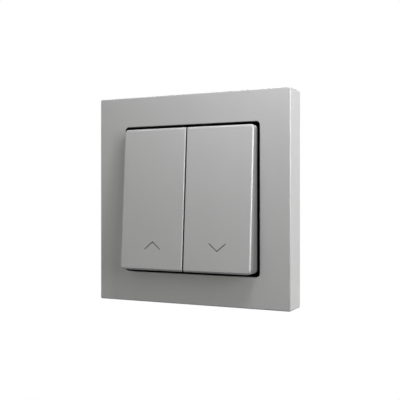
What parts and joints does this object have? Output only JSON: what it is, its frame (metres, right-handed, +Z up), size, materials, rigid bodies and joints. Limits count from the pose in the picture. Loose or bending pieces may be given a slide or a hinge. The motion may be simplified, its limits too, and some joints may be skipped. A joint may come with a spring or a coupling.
{
  "type": "double push button for blinds",
  "caption": "Flush wall push button for blinds: square frame, paired sprung rocker buttons with arrow marks, and an insert with contacts, terminals and spreading claws.",
  "frame": {"origin": "midway between the box screws, in the wall surface", "axes": "+X right seen from the front, +Y into the wall, +Z up"},
  "size_m": [0.0812, 0.0409, 0.0812],
  "materials": {
    "frame_metal": "satin anodised",
    "button_lacquer": "aluminium coloured satin lacquer",
    "zinc_steel": "zinc plated",
    "bridge_plastic": "moulded, fine texture",
    "lever_plastic": "moulded",
    "housing_plastic": "moulded",
    "plunger_plastic": "moulded",
    "release_plastic": "moulded",
    "axle_steel": "bright drawn steel",
    "spring_steel": "spring wire and strip",
    "contact_brass": "stamped",
    "contact_silver": "silver alloy"
  },
  "bodies": {
    "insert": {"cover_frame": "frame_metal", "support_plate": "zinc_steel", "front_bridge": "bridge_plastic", "pivot_axle": "axle_steel", "base_housing": "housing_plastic", "housing_screws": "zinc_steel", "common_contact_bar": "contact_brass", "claw_pins": "axle_steel", "up_fixed_contact": "contact_brass", "down_fixed_contact": "contact_brass", "up_fixed_contact_rivet": "contact_silver", "down_fixed_contact_rivet": "contact_silver", "up_return_spring": "spring_steel", "down_return_spring": "spring_steel", "common_terminal_clamp": "spring_steel", "up_terminal_clamp": "spring_steel", "down_terminal_clamp": "spring_steel"},
    "up_rocker": {"up_button": "button_lacquer", "up_lever": "lever_plastic"},
    "up_plunger": {"up_plunger": "plunger_plastic"},
    "up_blade": {"up_contact_blade": "contact_brass", "up_moving_contact": "contact_silver"},
    "down_rocker": {"down_button": "button_lacquer", "down_lever": "lever_plastic"},
    "down_plunger": {"down_plunger": "plunger_plastic"},
    "down_blade": {"down_contact_blade": "contact_brass", "down_moving_contact": "contact_silver"},
    "common_release": {"common_release": "release_plastic"},
    "up_release": {"up_release": "release_plastic"},
    "down_release": {"down_release": "release_plastic"},
    "left_claw": {"left_claw": "zinc_steel"},
    "left_claw_nut": {"left_claw_nut": "zinc_steel"},
    "left_claw_screw": {"left_claw_screw": "zinc_steel"},
    "right_claw": {"right_claw": "zinc_steel"},
    "right_claw_nut": {"right_claw_nut": "zinc_steel"},
    "right_claw_screw": {"right_claw_screw": "zinc_steel"}
  },
  "joints": [
    {"name": "up_press", "type": "hinge", "parent": "insert", "child": "up_rocker", "pos_m": [0, -0.0059, 0], "axis": [1, 0, 0], "range_deg": [0, 4], "stiffness_Nm_per_rad": 0.4, "springref_deg": -2.86, "deforming": ["up_return_spring"]},
    {"name": "up_plunger_slide", "type": "slide", "parent": "insert", "child": "up_plunger", "axis": [0, 1, 0], "range_m": [0, 0.001]},
    {"name": "up_blade_bend", "type": "hinge", "parent": "insert", "child": "up_blade", "pos_m": [-0.0085, 0.004, 0.004], "axis": [1, 0, 0], "range_deg": [0, 3.2]},
    {"name": "down_press", "type": "hinge", "parent": "insert", "child": "down_rocker", "pos_m": [0, -0.0059, 0], "axis": [1, 0, 0], "range_deg": [0, 4], "stiffness_Nm_per_rad": 0.4, "springref_deg": -2.86, "deforming": ["down_return_spring"]},
    {"name": "down_plunger_slide", "type": "slide", "parent": "insert", "child": "down_plunger", "axis": [0, 1, 0], "range_m": [0, 0.001]},
    {"name": "down_blade_bend", "type": "hinge", "parent": "insert", "child": "down_blade", "pos_m": [0.0085, 0.004, 0.004], "axis": [1, 0, 0], "range_deg": [0, 3.2]},
    {"name": "common_release_push", "type": "slide", "parent": "insert", "child": "common_release", "axis": [0, -1, 0], "range_m": [0, 0.0012], "stiffness_N_per_m": 300, "springref_m": -0.0005, "deforming": ["common_terminal_clamp"]},
    {"name": "up_release_push", "type": "slide", "parent": "insert", "child": "up_release", "axis": [0, -1, 0], "range_m": [0, 0.0012], "stiffness_N_per_m": 300, "springref_m": -0.0005, "deforming": ["up_terminal_clamp"]},
    {"name": "down_release_push", "type": "slide", "parent": "insert", "child": "down_release", "axis": [0, -1, 0], "range_m": [0, 0.0012], "stiffness_N_per_m": 300, "springref_m": -0.0005, "deforming": ["down_terminal_clamp"]},
    {"name": "left_claw_screw_turn", "type": "hinge", "parent": "insert", "child": "left_claw_screw", "pos_m": [-0.0229, 0, 0.0055], "axis": [0, 1, 0], "range_deg": [0, 3610]},
    {"name": "left_claw_nut_slide", "type": "slide", "parent": "insert", "child": "left_claw_nut", "axis": [0, -1, 0], "range_m": [0, 0.005]},
    {"name": "left_claw_swing", "type": "hinge", "parent": "insert", "child": "left_claw", "pos_m": [-0.0205, 0.0018, 0.0055], "axis": [0, 0, 1], "range_deg": [0, 12.8]},
    {"name": "right_claw_screw_turn", "type": "hinge", "parent": "insert", "child": "right_claw_screw", "pos_m": [0.0229, 0, -0.0055], "axis": [0, 1, 0], "range_deg": [0, 3610]},
    {"name": "right_claw_nut_slide", "type": "slide", "parent": "insert", "child": "right_claw_nut", "axis": [0, -1, 0], "range_m": [0, 0.005]},
    {"name": "right_claw_swing", "type": "hinge", "parent": "insert", "child": "right_claw", "pos_m": [0.0205, 0.0018, -0.0055], "axis": [0, 0, -1], "range_deg": [0, 12.8]}
  ],
  "couplings": [
    {"joint": "up_plunger_slide", "follows": "up_press", "m_per_rad": 0.014},
    {"joint": "up_blade_bend", "follows": "up_press", "ratio": 0.77778},
    {"joint": "down_plunger_slide", "follows": "down_press", "m_per_rad": 0.014},
    {"joint": "down_blade_bend", "follows": "down_press", "ratio": 0.77778},
    {"joint": "left_claw_screw_turn", "follows": "left_claw_nut_slide", "rad_per_m": 12566},
    {"joint": "left_claw_swing", "follows": "left_claw_nut_slide", "rad_per_m": 44.44},
    {"joint": "right_claw_screw_turn", "follows": "right_claw_nut_slide", "rad_per_m": 12566},
    {"joint": "right_claw_swing", "follows": "right_claw_nut_slide", "rad_per_m": 44.44}
  ]
}
